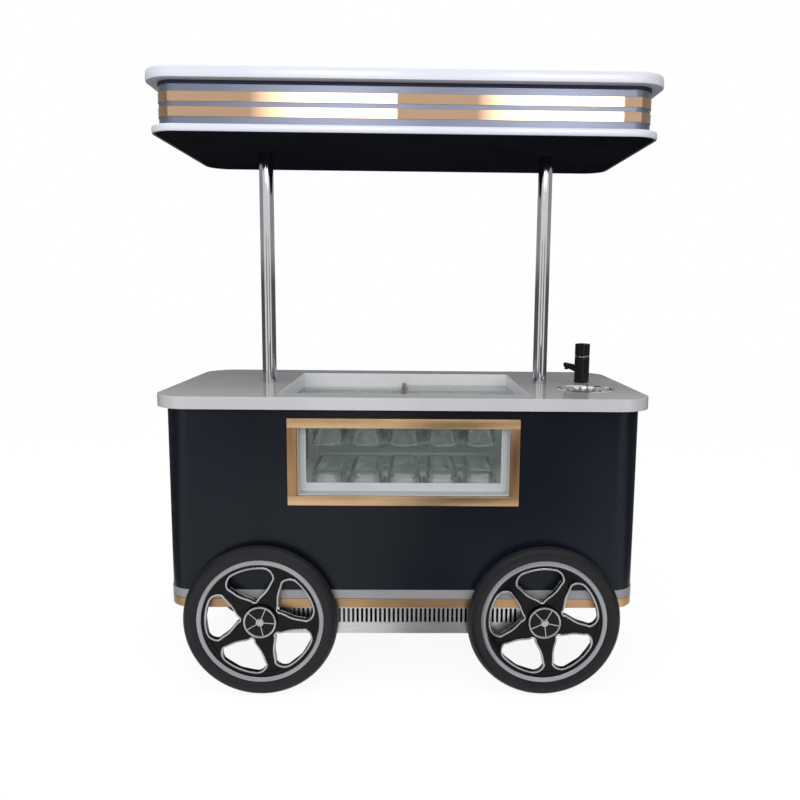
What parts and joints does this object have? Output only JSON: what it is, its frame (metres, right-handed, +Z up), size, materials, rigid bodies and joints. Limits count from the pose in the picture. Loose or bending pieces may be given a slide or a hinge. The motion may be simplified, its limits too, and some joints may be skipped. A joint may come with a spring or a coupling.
{
  "type": "ice cream push cart",
  "caption": "Ice cream push cart with a chilled pan well under sliding glass lids, a serving window, a sink with tap, large front wheels, braked rear casters and a flat canopy on posts.",
  "frame": {"origin": "on the floor under the middle of the counter", "axes": "+Z up, the serving window faces -Y, +X to the right seen from the front"},
  "size_m": [1.6, 0.84, 1.984],
  "materials": {
    "painted_steel": "powder-coated steel",
    "bright_steel": "polished steel",
    "brushed_steel": "brushed stainless sheet",
    "wheel_casting": "black painted casting with a bright rim",
    "tyre": "smooth black rubber",
    "caster_rubber": "moulded rubber",
    "brake_red": "painted pedal",
    "dark_lacquer": "dark lacquered composite panel",
    "gold_metal": "brushed gold anodised",
    "silver_metal": "satin silver",
    "counter_stone": "polished pale solid surface",
    "white_plastic": "white moulded plastic",
    "clear_glass": "clear tempered glass",
    "dark_plastic": "black moulded plastic",
    "foam": "rigid foam",
    "pan_clear": "clear moulded plastic",
    "copper": "copper tube",
    "canopy_lacquer": "pale lacquered composite",
    "tank_plastic": "translucent moulded plastic",
    "switch_red": "moulded rocker"
  },
  "bodies": {
    "cart": {"chassis": "painted_steel", "stub_axles": "bright_steel", "caster_plates": "bright_steel", "body_shell": "dark_lacquer", "silver_band": "silver_metal", "gold_band": "gold_metal", "vent_skirt": "brushed_steel", "machine_tray": "brushed_steel", "cabinet_panels": "white_plastic", "counter": "counter_stone", "well_collar": "white_plastic", "tank_liner": "brushed_steel", "tank_insulation": "foam", "pan_rack": "brushed_steel", "pans": "pan_clear", "evaporator": "silver_metal", "window_trim": "gold_metal", "window_liner": "white_plastic", "window_glass": "clear_glass", "compressor": "painted_steel", "condenser": "silver_metal", "refrigerant_lines": "copper", "posts": "bright_steel", "post_fittings": "painted_steel", "canopy_ceiling": "canopy_lacquer", "canopy_fascia": "silver_metal", "canopy_stripes": "gold_metal", "canopy_roof": "canopy_lacquer", "sink_bowl": "brushed_steel", "water_tanks": "tank_plastic", "water_pipes": "white_plastic", "door_hinges": "brushed_steel", "vent_panel": "brushed_steel", "control_panel": "brushed_steel"},
    "front_wheel_left": {"wheel_left": "wheel_casting", "tyre_left": "tyre", "hub_cap_left": "silver_metal"},
    "front_wheel_right": {"wheel_right": "wheel_casting", "tyre_right": "tyre", "hub_cap_right": "silver_metal"},
    "caster_left": {"caster_fork_left": "bright_steel"},
    "caster_right": {"caster_fork_right": "bright_steel"},
    "caster_roller_left": {"caster_wheel_left": "caster_rubber"},
    "caster_roller_right": {"caster_wheel_right": "caster_rubber"},
    "brake_left": {"caster_brake_left": "brake_red"},
    "brake_right": {"caster_brake_right": "brake_red"},
    "glass_lid_left": {"lid_left": "clear_glass", "lid_strip_left": "dark_plastic"},
    "glass_lid_right": {"lid_right": "clear_glass", "lid_strip_right": "dark_plastic"},
    "back_door_left": {"door_left": "dark_lacquer", "door_fittings_left": "brushed_steel"},
    "back_door_right": {"door_right": "dark_lacquer", "door_fittings_right": "brushed_steel"},
    "tap": {"tap_body": "dark_plastic", "tap_ring": "bright_steel"},
    "tap_handle": {"tap_head": "dark_plastic"},
    "thermostat": {"thermostat_knob": "dark_plastic"},
    "switch": {"power_switch": "switch_red"},
    "fan": {"condenser_fan": "dark_plastic"}
  },
  "joints": [
    {"name": "wheel_left_spin", "type": "hinge", "parent": "cart", "child": "front_wheel_left", "pos_m": [-0.465, -0.399, 0.253], "axis": [0, 1, 0], "continuous": true},
    {"name": "caster_left_swivel", "type": "hinge", "parent": "cart", "child": "caster_left", "pos_m": [-0.6, 0.262, 0.223], "axis": [0, 0, 1], "continuous": true},
    {"name": "caster_left_roll", "type": "hinge", "parent": "caster_left", "child": "caster_roller_left", "pos_m": [-0.655, 0.262, 0.1], "axis": [0, 1, 0], "continuous": true},
    {"name": "brake_left_press", "type": "hinge", "parent": "caster_left", "child": "brake_left", "pos_m": [-0.642, 0.262, 0.21], "axis": [0, -1, 0], "range_deg": [0, 4]},
    {"name": "wheel_right_spin", "type": "hinge", "parent": "cart", "child": "front_wheel_right", "pos_m": [0.465, -0.399, 0.253], "axis": [0, 1, 0], "continuous": true},
    {"name": "caster_right_swivel", "type": "hinge", "parent": "cart", "child": "caster_right", "pos_m": [0.6, 0.262, 0.223], "axis": [0, 0, 1], "continuous": true},
    {"name": "caster_right_roll", "type": "hinge", "parent": "caster_right", "child": "caster_roller_right", "pos_m": [0.545, 0.262, 0.1], "axis": [0, 1, 0], "continuous": true},
    {"name": "brake_right_press", "type": "hinge", "parent": "caster_right", "child": "brake_right", "pos_m": [0.558, 0.262, 0.21], "axis": [0, -1, 0], "range_deg": [0, 4]},
    {"name": "lid_left_slide", "type": "slide", "parent": "cart", "child": "glass_lid_left", "axis": [1, 0, 0], "range_m": [0, 0.39]},
    {"name": "lid_right_slide", "type": "slide", "parent": "cart", "child": "glass_lid_right", "axis": [-1, 0, 0], "range_m": [0, 0.39]},
    {"name": "door_left_swing", "type": "hinge", "parent": "cart", "child": "back_door_left", "pos_m": [-0.668, 0.377, 0.632], "axis": [0, 0, 1], "range_deg": [0, 110]},
    {"name": "door_right_swing", "type": "hinge", "parent": "cart", "child": "back_door_right", "pos_m": [0.668, 0.377, 0.632], "axis": [0, 0, -1], "range_deg": [0, 110]},
    {"name": "tap_swivel", "type": "hinge", "parent": "cart", "child": "tap", "pos_m": [0.655, 0.04, 1.004], "axis": [0, 0, 1], "range_deg": [-30, 140]},
    {"name": "tap_head_turn", "type": "hinge", "parent": "tap", "child": "tap_handle", "pos_m": [0.655, 0.04, 1.11], "axis": [0, 0, 1], "range_deg": [0, 90]},
    {"name": "thermostat_turn", "type": "hinge", "parent": "cart", "child": "thermostat", "pos_m": [0.2411, 0.38, 0.5108], "axis": [0, 1, 0], "range_deg": [-135, 135]},
    {"name": "switch_rock", "type": "hinge", "parent": "cart", "child": "switch", "pos_m": [0.3331, 0.375, 0.5108], "axis": [1, 0, 0], "range_deg": [-8, 8]},
    {"name": "fan_spin", "type": "hinge", "parent": "cart", "child": "fan", "pos_m": [0, -0.221, 0.327], "axis": [0, 1, 0], "continuous": true}
  ]
}
